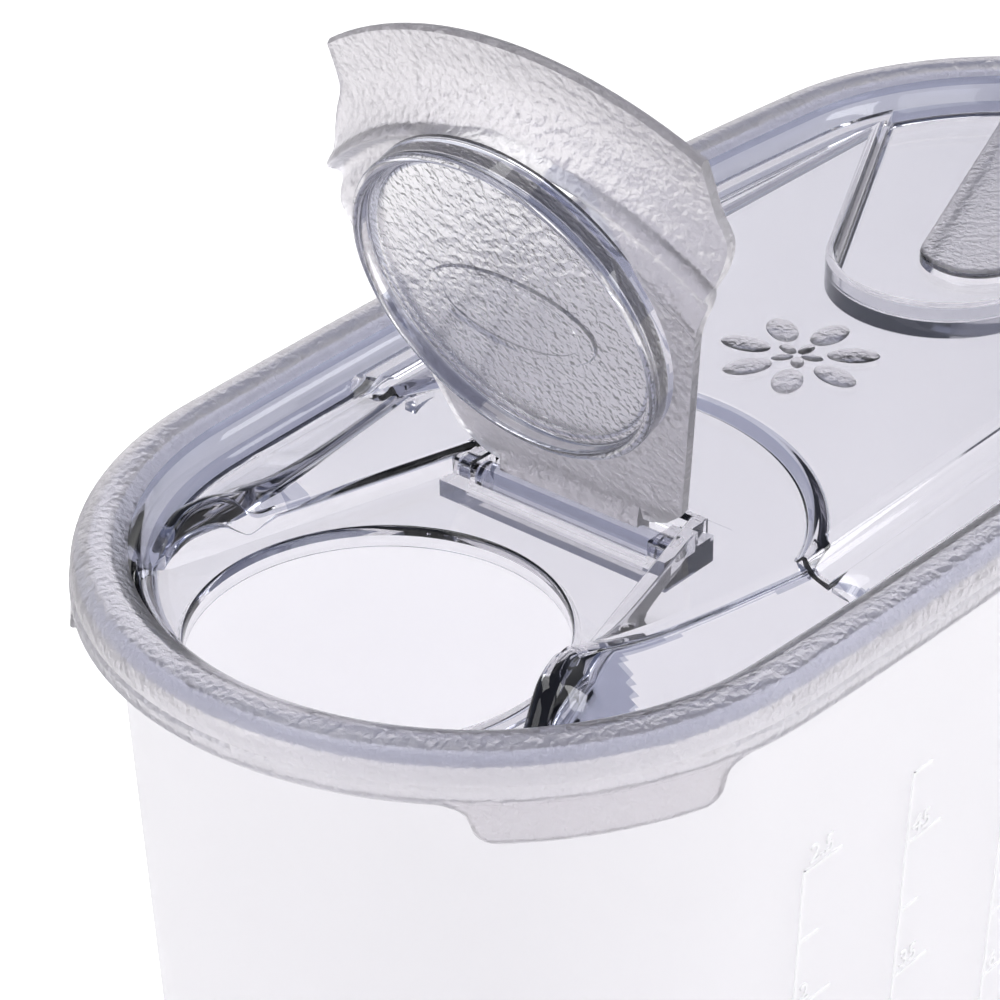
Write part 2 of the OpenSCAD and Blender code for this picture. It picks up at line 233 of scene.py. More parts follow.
def turned(name, x, y, steps, n=128):
    """A round solid on an upright axis: steps are (radius, z)."""
    return block(name, [[(x + r * math.cos(2 * math.pi * k / n), y + r * math.sin(2 * math.pi * k / n), z)
                         for k in range(n)] for r, z in steps])


def carve(base, how, *others):
    """Joins or cuts solids one after the other, and keeps the result as a plain mesh."""
    for other in others:
        step = base.modifiers.new("carve", "BOOLEAN")
        step.solver = "MANIFOLD"
        step.operation = how
        step.object = other
    bpy.context.view_layer.update()
    graph = bpy.context.evaluated_depsgraph_get()
    mesh = bpy.data.meshes.new_from_object(base.evaluated_get(graph))
    base.modifiers.clear()
    base.data = mesh
    for other in others:
        bpy.data.objects.remove(other)
    return base


def settle(piece, name, body, material):
    """Millimetres from the rim become metres from the table, with masks for the finish and for painted shade on steep
    polished faces, and smooth curves.
    """
    grainy = [face.material_index for face in piece.data.polygons for corner in face.loop_indices]
    piece.data.attributes.new("grain", "FLOAT", "CORNER").data.foreach_set("value", [float(g) for g in grainy])
    # Painted shade: small, steep, polished faces are marked for a darker blue tint
    painted_edge_shade = [float(face.material_index == 0 and 0.25 < abs(face.normal.z) < 0.86 and face.area < 30)
              for face in piece.data.polygons for corner in face.loop_indices]
    piece.data.attributes.new("painted_edge_shade", "FLOAT", "CORNER").data.foreach_set("value", painted_edge_shade)
    piece.data.polygons.foreach_set("material_index", [0] * len(piece.data.polygons))
    piece.data.materials.clear()
    piece.data.materials.append(material)
    piece.data.transform(on_table)
    piece.name = piece.data.name = name
    piece.data.shade_smooth()
    piece.data.set_sharp_from_angle(angle=math.radians(38))
    weigh = piece.modifiers.new("weigh", "WEIGHTED_NORMAL")
    weigh.keep_sharp = True
    weigh.weight = 70
    bpy.context.view_layer.update()
    graph = bpy.context.evaluated_depsgraph_get()
    done = bpy.data.meshes.new_from_object(piece.evaluated_get(graph))
    piece.modifiers.clear()
    piece.data = done
    done.name = name
    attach(piece, body)


milky = bpy.data.materials.new("natural polypropylene")
milky.use_nodes = True
nodes, links = milky.node_tree.nodes, milky.node_tree.links
skin = nodes["Principled BSDF"]
skin.inputs["Base Color"].default_value = (0.93, 0.922, 0.942, 1)
skin.inputs["IOR"].default_value = 1.49
skin.inputs["Transmission Weight"].default_value = 0.35
place = nodes.new("ShaderNodeTexCoord")
haze = nodes.new("ShaderNodeTexNoise")
haze.inputs["Scale"].default_value = 22
haze.inputs["Detail"].default_value = 3
links.new(place.outputs["Object"], haze.inputs["Vector"])
satin = nodes.new("ShaderNodeMapRange")
satin.inputs["From Min"].default_value = 0.3
satin.inputs["From Max"].default_value = 0.7
satin.inputs["To Min"].default_value = 0.38
satin.inputs["To Max"].default_value = 0.50
links.new(haze.outputs["Fac"], satin.inputs["Value"])
links.new(satin.outputs["Result"], skin.inputs["Roughness"])
# Lamp light soaks through the thin walls
path = nodes.new("ShaderNodeLightPath")
soak = nodes.new("ShaderNodeMath")
soak.operation = "MULTIPLY"
soak.inputs[1].default_value = 0.92
links.new(path.outputs["Is Shadow Ray"], soak.inputs[0])
thin = nodes.new("ShaderNodeBsdfTransparent")
wall = nodes.new("ShaderNodeMixShader")
links.new(soak.outputs[0], wall.inputs["Fac"])
links.new(skin.outputs[0], wall.inputs[1])
links.new(thin.outputs[0], wall.inputs[2])
links.new(wall.outputs[0], nodes["Material Output"].inputs["Surface"])

# Marks stand proud of the wall, where the plastic is thicker and whiter
relief = bpy.data.materials.new("raised marks")
relief.use_nodes = True
nodes, links = relief.node_tree.nodes, relief.node_tree.links
chalk = nodes["Principled BSDF"]
chalk.inputs["Base Color"].default_value = (0.97, 0.97, 0.98, 1)
place = nodes.new("ShaderNodeTexCoord")
haze = nodes.new("ShaderNodeTexNoise")
haze.inputs["Scale"].default_value = 180
links.new(place.outputs["Object"], haze.inputs["Vector"])
satin = nodes.new("ShaderNodeMapRange")
satin.inputs["To Min"].default_value = 0.35
satin.inputs["To Max"].default_value = 0.55
links.new(haze.outputs["Fac"], satin.inputs["Value"])
links.new(satin.outputs["Result"], chalk.inputs["Roughness"])

# The profile runs round the oval: outward offset from the crown of the lid's
# bead, and height from the middle of that bead
draft, foot_r, tub_t = 1.6, 8, 1.5
slope = math.tan(math.radians(draft))
foot = -1.5 - (159.1 - foot_r) * slope - foot_r / math.cos(math.radians(draft))
outer = arc(foot, foot_r - rim_z, foot_r, -90, -draft, 12)
flare = [(-1.5, -3.2), (1.4, -1.7), (1.4, 0.5)] + arc(0.2, 0.5, 1.2, 10, 90, 6)
flare += [(-1.1, 1.7), (-1.5, 1.3), (-1.5, 0.2), (-3.0, -3.2)]
inner = arc(foot, foot_r - rim_z, foot_r - tub_t, -draft, -90, 10)
section = [(-26, -rim_z)] + outer + flare + inner + [(-26, tub_t - rim_z)]
tub = block("tub", [[(x, y, z) for x, y in oval(out)] for out, z in section], loop=True)
tub = carve(tub, "UNION", block("base", [[(x, y, z) for x, y in oval(-24)] for z in (-rim_z, 2 - rim_z)]))
settle(tub, "tub_shell", "tub", milky)
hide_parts("container_tub")

# Graduations
# Three scales are moulded in low relief on one long side of the tub, each a
# rule with ticks and numbers. They are the tub's own plastic.
ladder = bpy.data.node_groups.new("scale", "GeometryNodeTree")
for label, kind in (("Count", "NodeSocketInt"), ("Pitch", "NodeSocketFloat"), ("Short", "NodeSocketFloat"),
                    ("Long", "NodeSocketFloat"), ("Line", "NodeSocketFloat"), ("Relief", "NodeSocketFloat"),
                    ("First long", "NodeSocketInt"), ("Plastic", "NodeSocketMaterial")):
    ladder.interface.new_socket(name=label, in_out="INPUT", socket_type=kind)
ladder.interface.new_socket(name="Geometry", in_out="OUTPUT", socket_type="NodeSocketGeometry")
nodes, links = ladder.nodes, ladder.links
given, result = nodes.new("NodeGroupInput"), nodes.new("NodeGroupOutput")
down = nodes.new("ShaderNodeMath")
down.operation = "MULTIPLY"
down.inputs[1].default_value = -1
links.new(given.outputs["Pitch"], down.inputs[0])
step = nodes.new("ShaderNodeCombineXYZ")
links.new(down.outputs[0], step.inputs["Z"])
row = nodes.new("GeometryNodeMeshLine")
links.new(given.outputs["Count"], row.inputs["Count"])
links.new(step.outputs[0], row.inputs["Offset"])
cube = nodes.new("GeometryNodeMeshCube")
push = nodes.new("GeometryNodeTransform")
push.inputs["Translation"].default_value = (0.5, 0, 0)
links.new(cube.outputs["Mesh"], push.inputs["Geometry"])
index = nodes.new("GeometryNodeInputIndex")
phase = nodes.new("ShaderNodeMath")
phase.operation = "ADD"
links.new(index.outputs[0], phase.inputs[0])
links.new(given.outputs["First long"], phase.inputs[1])
odd = nodes.new("ShaderNodeMath")
odd.operation = "MODULO"
odd.inputs[1].default_value = 2
links.new(phase.outputs[0], odd.inputs[0])
reach = nodes.new("GeometryNodeSwitch")
reach.input_type = "FLOAT"
links.new(odd.outputs[0], reach.inputs["Switch"])
links.new(given.outputs["Long"], reach.inputs["False"])
links.new(given.outputs["Short"], reach.inputs["True"])
size = nodes.new("ShaderNodeCombineXYZ")
links.new(reach.outputs[0], size.inputs["X"])
links.new(given.outputs["Relief"], size.inputs["Y"])
links.new(given.outputs["Line"], size.inputs["Z"])
ticks = nodes.new("GeometryNodeInstanceOnPoints")
links.new(row.outputs["Mesh"], ticks.inputs["Points"])
links.new(push.outputs["Geometry"], ticks.inputs["Instance"])
links.new(size.outputs[0], ticks.inputs["Scale"])
real = nodes.new("GeometryNodeRealizeInstances")
links.new(ticks.outputs[0], real.inputs[0])
dress = nodes.new("GeometryNodeSetMaterial")
links.new(real.outputs[0], dress.inputs["Geometry"])
links.new(given.outputs["Plastic"], dress.inputs["Material"])
links.new(dress.outputs[0], result.inputs["Geometry"])


def on_wall(x, high, proud):
    """A point on the graduated side: along it, its height from the bead, and how proud it stands."""
    out = -1.5 - (-3.2 - high) * slope + proud
    return (x, side_r - half_w - math.sqrt((side_r + out) ** 2 - x * x), high)


def made(piece):
    """The evaluated piece as a plain mesh object."""
    bpy.context.view_layer.update()
    graph = bpy.context.evaluated_depsgraph_get()
    mesh = bpy.data.meshes.new_from_object(piece.evaluated_get(graph))
    name = piece.name
    bpy.data.objects.remove(piece)
    plain = bpy.data.objects.new(name, mesh)
    bpy.context.scene.collection.objects.link(plain)
    return plain


# Name, place along the side, height of the top tick, pitch, ticks, whether the
# first tick is a long one, and the numbers at the long ticks
scales = (
    ("quarts", -62.7, -34.9, 11.9, 10, 0, ("2.5", "2", "1.5", "1", ".5")),
    ("flour", -39.4, -31.4, 11.9, 10, 1, ("45", "35", "25", "15", "5")),
    ("cups", -14.7, -34.9, 11.9, 10, 0, ("10", "8", "6", "4", "2")),
)
for name, x0, top, pitch, count, first, numbers in scales:
    rule = bpy.data.objects.new("scale_" + name, bpy.data.meshes.new(name))
    bpy.context.scene.collection.objects.link(rule)
    grow = rule.modifiers.new("scale", "NODES")
    grow.node_group = ladder
    for label, value in (("Count", count), ("Pitch", pitch), ("Short", 4.2), ("Long", 7.9), ("Line", 0.45),
                         ("Relief", 1.0), ("First long", first), ("Plastic", relief)):
        grow[ladder.interface.items_tree[label].identifier] = value
    rule = made(rule)
    marks = bmesh.new()
    marks.from_mesh(rule.data)
    bar = bmesh.ops.create_cube(marks, size=1)["verts"]
    for v in bar:
        v.co = (v.co.x * 0.45, v.co.y, v.co.z * (pitch * (count - 1) + 0.45) - pitch * (count - 1) / 2)
    for v in marks.verts:
        v.co = on_wall(x0 + v.co.x, top + v.co.z, 0.3 if v.co.y < 0 else -0.25)
    marks.to_mesh(rule.data)
    marks.free()
    for k, number in enumerate(numbers):
        curve = bpy.data.curves.new("number", "FONT")
        curve.body = number
        curve.size = 4.2
        curve.extrude = 0.5
        sign = bpy.data.objects.new("number", curve)
        bpy.context.scene.collection.objects.link(sign)
        sign = made(sign)
        for v in sign.data.vertices:
            high = top - pitch * (2 * k + first) + 0.9 + v.co.y
            v.co = on_wall(x0 + 1.0 + v.co.x, high, 0.26 if v.co.z > 0 else -0.25)
        both = bmesh.new()
        both.from_mesh(rule.data)
        both.from_mesh(sign.data)
        both.to_mesh(rule.data)
        both.free()
        bpy.data.objects.remove(sign)
    rule.data.materials.clear()
    rule.data.materials.append(relief)
    tidy = bmesh.new()
    tidy.from_mesh(rule.data)
    bmesh.ops.recalc_face_normals(tidy, faces=tidy.faces)
    tidy.to_mesh(rule.data)
    tidy.free()
    rule.data.transform(on_table)
    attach(rule, "tub")

# Lid
# One injection moulding in smoke-clear styrene. The rim bead, the skirt, the
# lift tabs and the grip tongue are leather-grained, the panel is polished.
grain = bpy.data.node_groups.new("leather grain", "ShaderNodeTree")
for label, kind, value in (("Size", "NodeSocketFloat", 0.0012), ("Fine", "NodeSocketFloat", 0.35)):
    socket = grain.interface.new_socket(name=label, in_out="INPUT", socket_type=kind)
    socket.default_value = value
grain.interface.new_socket(name="Vector", in_out="INPUT", socket_type="NodeSocketVector")
grain.interface.new_socket(name="Height", in_out="OUTPUT", socket_type="NodeSocketFloat")
nodes, links = grain.nodes, grain.links
given = nodes.new("NodeGroupInput")
given_out = nodes.new("NodeGroupOutput")
per = nodes.new("ShaderNodeMath")
per.operation = "DIVIDE"
per.inputs[0].default_value = 1.0
links.new(given.outputs["Size"], per.inputs[1])
wander = nodes.new("ShaderNodeTexNoise")
wander.inputs["Detail"].default_value = 1
links.new(given.outputs["Vector"], wander.inputs["Vector"])
links.new(per.outputs[0], wander.inputs["Scale"])
shift = nodes.new("ShaderNodeVectorMath")
shift.operation = "MULTIPLY_ADD"
links.new(wander.outputs["Color"], shift.inputs[0])
links.new(given.outputs["Size"], shift.inputs[1])
links.new(given.outputs["Vector"], shift.inputs[2])
cells = nodes.new("ShaderNodeTexVoronoi")
cells.feature = "SMOOTH_F1"
cells.inputs["Smoothness"].default_value = 0.6
links.new(shift.outputs[0], cells.inputs["Vector"])
links.new(per.outputs[0], cells.inputs["Scale"])
finer = nodes.new("ShaderNodeTexNoise")
finer.inputs["Detail"].default_value = 2
links.new(shift.outputs[0], finer.inputs["Vector"])
twice = nodes.new("ShaderNodeMath")
twice.operation = "MULTIPLY"
twice.inputs[1].default_value = 2.1
links.new(per.outputs[0], twice.inputs[0])
links.new(twice.outputs[0], finer.inputs["Scale"])
blend = nodes.new("ShaderNodeMath")
blend.operation = "MULTIPLY_ADD"
links.new(finer.outputs["Fac"], blend.inputs[0])
links.new(given.outputs["Fine"], blend.inputs[1])
links.new(cells.outputs["Distance"], blend.inputs[2])
links.new(blend.outputs[0], given_out.inputs["Height"])


# A moulding is one solid of one plastic, so the grain is a mask on its faces
smoke_plastic = bpy.data.materials.new("smoke plastic")
smoke_plastic.use_nodes = True
nodes, links = smoke_plastic.node_tree.nodes, smoke_plastic.node_tree.links
clear = nodes["Principled BSDF"]
clear.inputs["IOR"].default_value = 1.5
clear.inputs["Transmission Weight"].default_value = 1.0
place = nodes.new("ShaderNodeTexCoord")
mask = nodes.new("ShaderNodeAttribute")
mask.attribute_name = "grain"
body = nodes.new("ShaderNodeMix")
body.data_type = "RGBA"
body.inputs["A"].default_value = (0.955, 0.955, 0.965, 1)
body.inputs["B"].default_value = (0.80, 0.78, 0.80, 1)
links.new(mask.outputs["Fac"], body.inputs["Factor"])
# Steep polished faces are painted a darker blue: painted shade for the darker look of slanted walls
bend = nodes.new("ShaderNodeAttribute")
bend.attribute_name = "painted_edge_shade"
edge_shade_tint = nodes.new("ShaderNodeMix")
edge_shade_tint.data_type = "RGBA"
# The colour of the painted shade on steep faces
edge_shade_tint.inputs["B"].default_value = (0.42, 0.44, 0.54, 1)
links.new(bend.outputs["Fac"], edge_shade_tint.inputs["Factor"])
links.new(body.outputs["Result"], edge_shade_tint.inputs["A"])
links.new(edge_shade_tint.outputs["Result"], clear.inputs["Base Color"])
leather = nodes.new("ShaderNodeGroup")
leather.node_tree = grain
leather.inputs["Size"].default_value = 0.0011
leather.inputs["Fine"].default_value = 0.5
links.new(place.outputs["Object"], leather.inputs["Vector"])
only = nodes.new("ShaderNodeMath")
only.operation = "MULTIPLY"
links.new(leather.outputs["Height"], only.inputs[0])
links.new(mask.outputs["Fac"], only.inputs[1])
bump = nodes.new("ShaderNodeBump")
bump.inputs["Strength"].default_value = 1.0
bump.inputs["Distance"].default_value = 0.0002
links.new(only.outputs[0], bump.inputs["Height"])
links.new(bump.outputs["Normal"], clear.inputs["Normal"])
flow = nodes.new("ShaderNodeTexNoise")
flow.inputs["Scale"].default_value = 60
flow.inputs["Detail"].default_value = 2
links.new(place.outputs["Object"], flow.inputs["Vector"])
gloss = nodes.new("ShaderNodeMapRange")
gloss.inputs["To Min"].default_value = 0.02
gloss.inputs["To Max"].default_value = 0.05
links.new(flow.outputs["Fac"], gloss.inputs["Value"])
matt = nodes.new("ShaderNodeMath")
matt.operation = "MULTIPLY_ADD"
matt.inputs[1].default_value = 0.30
links.new(mask.outputs["Fac"], matt.inputs[0])
links.new(gloss.outputs["Result"], matt.inputs[2])
links.new(matt.outputs[0], clear.inputs["Roughness"])
smoke = nodes.new("ShaderNodeVolumeAbsorption")
smoke.inputs["Color"].default_value = (0.50, 0.485, 0.53, 1)
smoke.inputs["Density"].default_value = 52
links.new(smoke.outputs[0], nodes["Material Output"].inputs["Volume"])

wall_t, basin, gutter = 1.8, -3.6, -1.36
plate = basin - wall_t
# Rim: bead, skirt, channel for the container's rim, and the inner wall
bead = arc(0, 0, 3.8, 0, 126, 18)
inner = smooth([(-3.1, 2.5), (-4.2, 1.7), (-5.2, 0.6), (-5.9, -0.9), (-6.5, -2.3), (-7.4, -3.2), (-8.6, -3.5),
                (-9.4, -3.8)], 3)
profile = ([(-9.4, plate + 0.2), (-5.2, plate + 0.2), (-4.95, plate + 0.4), (-4.2, -2.6), (-3.5, 0.2), (-2.4, 1.1),
            (-1.4, 2), (0.9, 2), (2.1, 0.8), (2.1, -3.4), (2.4, -3.55), (3.85, -3.55), (4.08, -3.3), (4.1, -1.7),
            (3.95, -1.35), (3.72, -1.0), (3.8, -0.5)] + bead + inner)
rim = block("rim", [[(x, y, z) for x, y in oval(out)] for out, z in profile], loop=True, stuff=1)
# The channel and the inner wall are polished
around_rim = len(oval(0))
for face in rim.data.polygons:
    outs = [profile[v // around_rim][0] for v in face.vertices]
    highs = [profile[v // around_rim][1] for v in face.vertices]
    if max(outs) < -4.1 or (max(outs) <= 2.1 and max(highs) <= 2.0):
        face.material_index = 0


# Places from the middle of the lid and of its bead: the flap's pins and the spout
pin_x, pin_z, spout_x = -51.5, -3.7, -89.9


def bay_w(x):
    """Half width of the bay that the flap lies in, wider towards the spout."""
    return 18.4 + 0.276 * (pin_x - x)


crest_h, wall_in = 4.4, 7.3
# How far the shelf's inner edge and its ridge have risen to the crest, along x


edge_table = [(-43, 0), (-70, 0), (-80, 0), (-84, 0.03), (-85.3, 0.28), (-86.4, 0.60), (-87.6, 0.86), (-89.3, 1),
              (-92, 0.96), (-93.8, 0.82), (-95.2, 0.54), (-96.5, 0.2), (-97.6, -0.15), (-98.6, -0.42), (-100, -0.7),
              (-101, -0.85)]
ridge_table = [(-43, 0), (-48, 0), (-56, 0.05), (-64, 0.12), (-72, 0.25), (-78, 0.45), (-84, 0.78), (-89.3, 1),
               (-92, 0.96), (-93.8, 0.82), (-95.2, 0.54), (-96.5, 0.2), (-97.6, -0.15), (-98.6, -0.42),
               (-100, -0.7), (-101, -0.85)]


def along(table, x):
    """The smoothed table's value at x."""
    curve = smooth(table, 6)
    xs = [-p[0] for p in curve]
    return float(np.interp(-x, xs, [p[1] for p in curve]))


def shelf(x, d, side):
    """Section of the shelf beside the bay, set in by d: slope, rounded ridge, top and the bay's wall."""
    b = bay_w(x) + d
    ez, rz = crest_h * along(edge_table, x) - d, crest_h * along(ridge_table, x) - d
    r = max(bay_w(x) + 1.6, 36 - 0.165 * (-47.5 - x)) - d * 0.6
    reach = half_w - wall_in + 0.3 if x > -end_c else math.sqrt((end_r - wall_in + 0.6) ** 2 - (-end_c - x) ** 2)
    foot = basin - 0.5 - d
    pinched = max(0, b + 1.3 - r)
    r += pinched
    ez, rz = max(ez - pinched, foot + 0.5), max(rz - pinched, foot + 0.5)
    f = max(reach - d, r + 3.4)
    sz = max(rz - 1.35, foot + 0.3)
    outer = smooth([(f + 0.3, foot - 0.05), (f - (f - r - 1.6) * 0.45, foot + (sz - foot) * 0.42), (r + 1.7, sz),
                    (r + 0.9, sz + 0.62 * (rz - sz)), (r, rz - 0.10), (r - 0.9, rz * 0.92 + ez * 0.08)], 4)
    soft = min(0.9, max(0.15, (ez - basin) * 0.25))
    middle = [((r - 0.9 + b + soft) / 2, (ez + rz) / 2)]
    edge = [(b + soft * (1 - math.sin(t)), ez - soft * (1 - math.cos(t))) for t in np.linspace(0, math.pi / 2, 6)]
    low = plate - 3 if d else -4.8
    points = [(f + 0.3, low)] + outer + middle + edge + [(b - 0.25, basin - 0.4 - d), (b - 0.25, low)]
    return [(x, side * y, z) for y, z in points]


xs = list(np.linspace(-43.5, -82, 22)) + list(np.linspace(-83, -101, 30))
hollow_xs = [x - 1.98 if x > -44 else x + 0.9 if x < -100 else x for x in xs]


def shelves(name, d, side):
    """One shelf, or with d the hollow beneath it."""
    return block(name, [shelf(x, d, side) for x in (xs if d == 0 else hollow_xs)])


def panel(name, d):
    """The raised rear panel, set in by d, with rounded long edges."""
    z, w = 1.5 - d, 36 - d * 0.6
    half = smooth([(w + 4.4, gutter - d), (w + 2.6, gutter + 0.45 - d), (w + 1.4, z - 1.3), (w + 0.7, z - 0.35),
                   (w - 0.5, z)], 4)
    low = plate - 3.2 if d else -4.7
    ring = [(w + 4.4, low)] + half + [(-y, h) for y, h in half[::-1]] + [(-w - 4.4, low)]
    solid = block(name, [[(x, y, h) for y, h in ring] for x in (80 - d, -47.5 + d)])
    round_step = turned("round step", -60.5, 0, [(37.1 + d, -14), (37.1 + d, -0.02 - d), (37.4 + d, 0.10 - d),
                                                 (37.75 + d, 0.42 - d), (38.2 + d, 1.02 - d), (38.6 + d, 1.36 - d),
                                                 (39.1 + d, 1.51 - d), (39.1 + d, 8)])
    return carve(solid, "DIFFERENCE", round_step)


def rear_floor(name, d):
    """Floor of the rear gutter: its front end is an S in plan."""
    bend = smooth([(-46.6, 36.6), (-45.9, 38.6), (-45.2, 40.2), (-44.7, 41.6), (-44.6, 42.8), (-45.1, 44.2),
                   (-46.2, 45.6), (-48.6, 47.4), (-51, 50)], 4)

    def edge(grow):
        """The outline with its front end moved forward."""
        front = [(x + d - grow, y) for x, y in bend]
        return [(130, -60), (130, 60), (-51 + d - grow, 60)] + front[::-1] + [(x, -y) for x, y in front] + [
            (-51 + d - grow, -60)]

    ramp = [(3.4, plate - 3.4 if d else -4.6), (3.4, -3.75 - d), (2.4, -3.4 - d), (1.1, -2.75 - d), (0, -2.1 - d),
            (-0.9, -1.65 - d), (-2.2, gutter - d)]
    return carve(prism(name, ramp, edge), "INTERSECT",
                 prism("inside", [(0, -12), (0, 5)], lambda grow: oval(-6.0 - d * 1.1)))


def fan(grow):
    """Plan of the hand recess: a round front and two straight sides."""
    a, r = 26.2, 15.9 + grow
    front = arc(38.8, 0, r, 90 + a, 270 - a, 40)
    reach = front[0][1] + (130 - front[0][0]) * math.tan(math.radians(a))
    return front + [(130, -reach), (130, reach)]


recess_wall = [(-1.2, -3.62), (-0.5, -3.5), (-0.1, -3.1), (0, -2.6), (0.05, 0.2), (0.2, 0.8), (0.5, 1.2), (1.0, 1.42),
               (1.7, 1.51), (1.7, 9)]


def tongue(grow):
    """Plan of the grip tongue that stands in the hand recess."""
    a, r = 19, 8.4 + grow
    front = arc(48.7, 0, r, 90 + a, 270 - a, 28)
    reach = front[0][1] + (125 - front[0][0]) * math.tan(math.radians(a))
    return front + [(125, -reach), (125, reach)]


def slab(name, x0, x1, w, z0, z1):
    """A flat block between two x, 2 w wide."""
    return prism(name, [(0, z0), (0, z1)], lambda grow: [(x0, -w), (x1, -w), (x1, w), (x0, w)])


panel_solid = carve(shelves("shelf", 0, 1), "UNION", shelves("shelf far", 0, -1),
                    slab("platform", -46.9, -20, 35.6, -4.5, -0.004))
panel_solid = carve(panel_solid, "UNION", panel("panel", 0), rear_floor("rear floor", 0))
panel_solid = carve(panel_solid, "INTERSECT", prism("inside", [(0, -12), (0, 16)], lambda g: oval(-5.9)))
panel_solid = carve(panel_solid, "DIFFERENCE", prism("hand recess", recess_wall, fan))
floor = prism("floor", [(0, plate), (0, basin)], lambda g: oval(-6.9))
grip = carve(prism("grip", [(0, -4.4), (0, -2.3), (-0.2, -1.85), (-0.6, -1.55), (-1.3, -1.4)], tongue, stuff=1),
             "INTERSECT", prism("inside", [(0, -12), (0, 5)], lambda g: oval(-6.1)))
# Only the top of the tongue is grained
for face in grip.data.polygons:
    if abs(face.normal.z) < 0.5:
        face.material_index = 0
# The hollows beneath leave one thickness of sheet under every raised form
hollow = carve(shelves("hollow", wall_t, 1), "UNION", shelves("hollow far", wall_t, -1))
under = carve(slab("under platform", -49.1, -20, 33.8, plate - 3.1, -wall_t - 0.004), "DIFFERENCE",
              slab("bay wall", -60, -45.1, 17.1 + 1.8, -12, 5))
hollow = carve(hollow, "UNION", under, panel("under panel", wall_t), rear_floor("under floor", wall_t))
hollow = carve(hollow, "DIFFERENCE", prism("recess wall", [(wall_t, -14), (wall_t, 9)], fan))
hollow = carve(hollow, "UNION", prism("under grip", [(-wall_t, plate - 3.3), (-wall_t, -1.4 - wall_t)], tongue))

rim = carve(rim, "UNION", panel_solid, floor, grip)
rim = carve(rim, "DIFFERENCE", hollow)
# Spout, with the collar that closes the rim where the two run together
collar = turned("collar", spout_x, 0, [(26.1, -7), (26.1, -4.0)])
closing = [(-5.6, -7), (-3.7, -7), (-3.7, -0.4), (-5.6, -0.4)]
closing = carve(block("closing", [[(x, y, z) for x, y in oval(out)] for out, z in closing], loop=True), "INTERSECT",
                turned("near the spout", spout_x, 0, [(26.1, -8), (26.1, 3)]))
spout = turned("spout", spout_x, 0, [(25.5, -9), (25.4, -7.02), (25.08, -6.8), (25.0, -6.4), (25.0, -4.3),
                                     (25.08, -3.9), (25.3, -3.68), (25.6, -3.59), (25.6, -3.3), (25.0, -3.0),
                                     (25.0, 9)])
# Hinge: a block under the bay with a trough, and a lug each side with the pin's hole
hinge = carve(slab("hinge block", -55.8, -45.2, 20, -8, -4.0), "UNION",
              *[prism("lug", [(0, -7.9), (0, -1.35), (-0.3, -1.0)], lambda g, s=s: [
                  (-54.1 - g, s * 15.7 - g * s), (-48.7 + g, s * 15.7 - g * s), (-48.7 + g, s * (20 + g)),
                  (-54.1 - g, s * (20 + g))][::s]) for s in (1, -1)])
trough = slab("trough", -54.4, -46.9, 15.7, -6.5, 14)


def rod(name, r, w):
    """A round rod along the hinge's axis."""
    return block(name, [[(pin_x + r * math.cos(2 * math.pi * k / 48), y, pin_z + r * math.sin(2 * math.pi * k / 48))
                         for k in range(48)] for y in (-w, w)])


def tab(side):
    """A lift tab: the skirt runs deeper over part of a front corner."""
    rings = []
    us = list(np.linspace(-19.6, -12.8, 26)) + list(np.linspace(-11, 11, 16)) + list(np.linspace(12.8, 19.6, 26))
    for u in us:
        a = abs(u)
        low = -8.8 if a <= 12.8 else -5.8 - math.sqrt(max(0, 9 - (a - 12.8) ** 2)) if a <= 15.7 else float(
            np.interp(a, [15.7, 16.2, 17.4, 19.0, 19.6], [-6.5, -5.1, -4.2, -3.6, -3.5]))
        way = math.radians(124.3) + math.asin(u / 55)
        k = (-3.4 - low) / 5.4
        soft = min(0.3, max(0.01, -3.4 - low) * 0.3)
        out, back = 3.95 + 0.55 * k, 2.5 + 0.4 * k
        ring = [(2.5, -2.3), (3.7, -2.3), (3.95, -3.4), (out, low + soft), (out - soft * 0.8, low),
                (back + soft * 0.8, low), (back, low + soft), (2.5, -3.4)]
        rings.append([(-end_c + (end_r + o) * math.cos(way), side * (end_r + o) * math.sin(way), z) for o, z in ring])
    return block("tab", rings, stuff=1)


rim = carve(rim, "UNION", collar, closing, hinge, tab(1), tab(-1))
rim = carve(rim, "DIFFERENCE", spout, trough, rod("pin hole", 1.35, 18.8))

# Panel motif
# A plain rosette of petals stands in low relief on the rear panel. It is
# moulded with the lid and has the lid's leather grain.
rosette = bpy.data.node_groups.new("rosette", "GeometryNodeTree")
for label, kind in (("Petals", "NodeSocketInt"), ("Reach", "NodeSocketFloat"), ("Length", "NodeSocketFloat"),
                    ("Width", "NodeSocketFloat"), ("Relief", "NodeSocketFloat"), ("Plastic", "NodeSocketMaterial")):
    rosette.interface.new_socket(name=label, in_out="INPUT", socket_type=kind)
rosette.interface.new_socket(name="Geometry", in_out="OUTPUT", socket_type="NodeSocketGeometry")
nodes, links = rosette.nodes, rosette.links
given, result = nodes.new("NodeGroupInput"), nodes.new("NodeGroupOutput")
circle = nodes.new("GeometryNodeMeshCircle")
links.new(given.outputs["Petals"], circle.inputs["Vertices"])
links.new(given.outputs["Reach"], circle.inputs["Radius"])
dome = nodes.new("GeometryNodeMeshUVSphere")
dome.inputs["Segments"].default_value = 28
dome.inputs["Rings"].default_value = 14
dome.inputs["Radius"].default_value = 1
spot = nodes.new("GeometryNodeInputPosition")
face_out = nodes.new("FunctionNodeAlignRotationToVector")
face_out.axis = "X"
face_out.pivot_axis = "Z"
links.new(spot.outputs[0], face_out.inputs["Vector"])
shape = nodes.new("ShaderNodeCombineXYZ")
links.new(given.outputs["Length"], shape.inputs["X"])
links.new(given.outputs["Width"], shape.inputs["Y"])
links.new(given.outputs["Relief"], shape.inputs["Z"])
petals = nodes.new("GeometryNodeInstanceOnPoints")
links.new(circle.outputs["Mesh"], petals.inputs["Points"])
links.new(dome.outputs["Mesh"], petals.inputs["Instance"])
